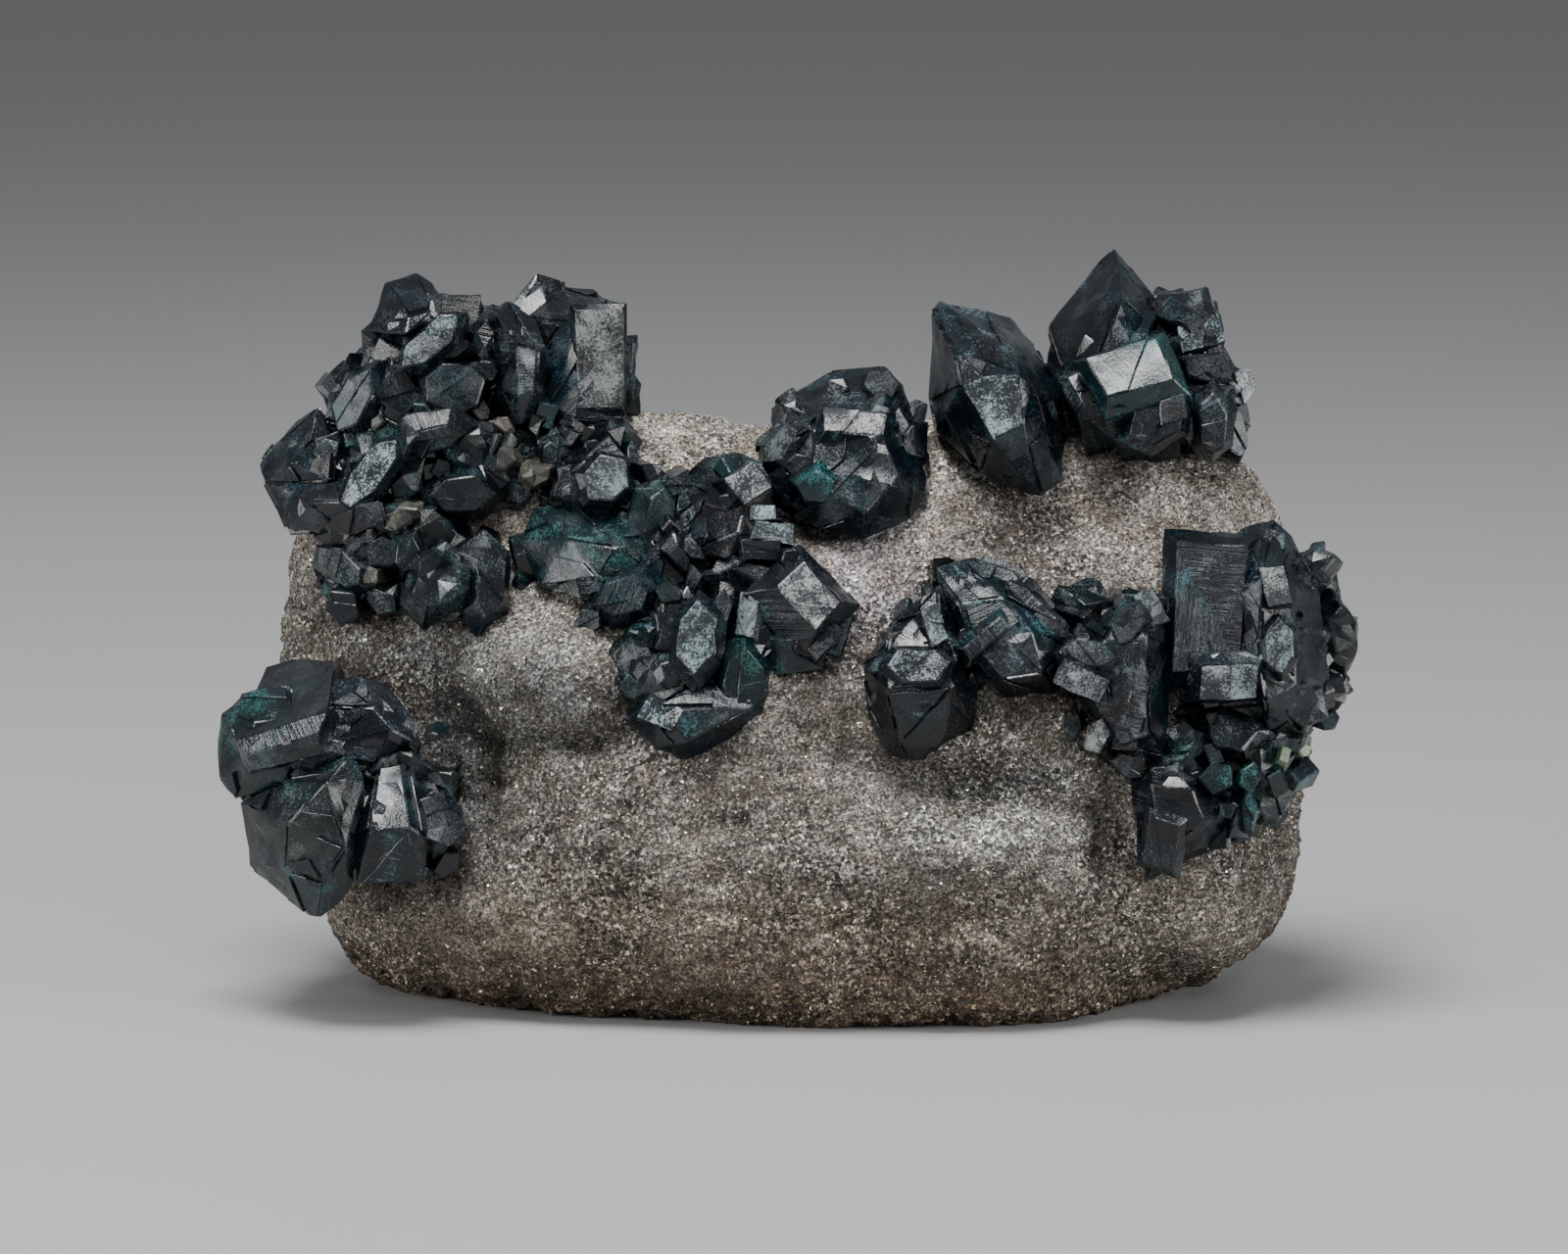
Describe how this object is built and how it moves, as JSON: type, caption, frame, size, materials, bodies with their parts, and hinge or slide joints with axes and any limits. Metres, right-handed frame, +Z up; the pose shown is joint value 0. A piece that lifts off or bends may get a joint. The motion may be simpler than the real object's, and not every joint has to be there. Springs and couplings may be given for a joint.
{
  "type": "alexandrite crystal cluster on mica schist",
  "caption": "Intergrown dark tabular and twinned crystals standing on a saddle-topped block of mica schist, a display mineral specimen that rests on its flat underside",
  "frame": {"origin": "middle of the specimen's footprint, on its flat underside", "axes": "+X runs along the long direction to the right of the front view, +Y to the back, +Z up"},
  "size_m": [0.195, 0.0925, 0.1281],
  "materials": {
    "mica_schist": "rough grey-brown stone packed with small glittering mica flakes",
    "alexandrite": "near-black blue-green crystal, glassy on some faces, pitted and striated on others"
  },
  "bodies": {
    "root": {"mica_schist_matrix": "mica_schist", "crystals_upper_left": "alexandrite", "crystals_left_flank": "alexandrite", "crystals_centre": "alexandrite", "crystals_upper_middle": "alexandrite", "crystal_upper_right_spike": "alexandrite", "crystals_upper_right": "alexandrite", "crystals_middle_right": "alexandrite", "crystals_right_step": "alexandrite", "crystals_right_flank": "alexandrite", "crystals_right_foot": "alexandrite", "crystals_lower_left": "alexandrite"}
  },
  "joints": []
}
